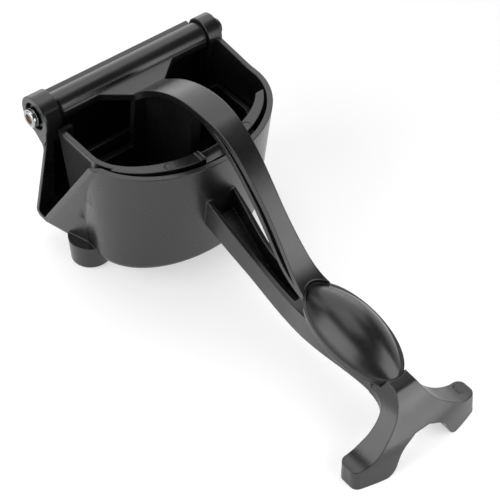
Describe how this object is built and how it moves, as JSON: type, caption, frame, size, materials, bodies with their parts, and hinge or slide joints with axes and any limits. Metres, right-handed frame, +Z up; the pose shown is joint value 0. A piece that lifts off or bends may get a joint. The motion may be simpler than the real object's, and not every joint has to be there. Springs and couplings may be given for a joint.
{
  "type": "hinged lemon squeezer",
  "caption": "Hinged lemon squeezer: a footed bowl with side spout and strainer basket, and a swinging lever with a press cup and an oval palm rest.",
  "frame": {"origin": "below the middle of the object, on the table", "axes": "+X from the hinge to the handle end, Y along the hinge pin with the spout on -Y, +Z up"},
  "size_m": [0.2033, 0.0996, 0.0915],
  "materials": {
    "coated_casting": "black satin coating on cast aluminium",
    "gloss_cap": "glossy black",
    "dark_steel": "blackened steel",
    "bright_screw": "bright plated",
    "bush_plastic": "black bearing plastic"
  },
  "bodies": {
    "base": {"body_casting": "coated_casting", "strainer_basket": "coated_casting", "hinge_pin": "dark_steel", "pivot_screw": "bright_screw", "screw_washer": "dark_steel"},
    "lever": {"lever_casting": "coated_casting", "palm_cap": "gloss_cap", "barrel_bush_left": "bush_plastic", "barrel_bush_right": "bush_plastic"}
  },
  "joints": [
    {"name": "lever_hinge", "type": "hinge", "parent": "base", "child": "lever", "pos_m": [-0.09058, 0, 0.072], "axis": [0, -1, 0], "range_deg": [0, 140]}
  ]
}
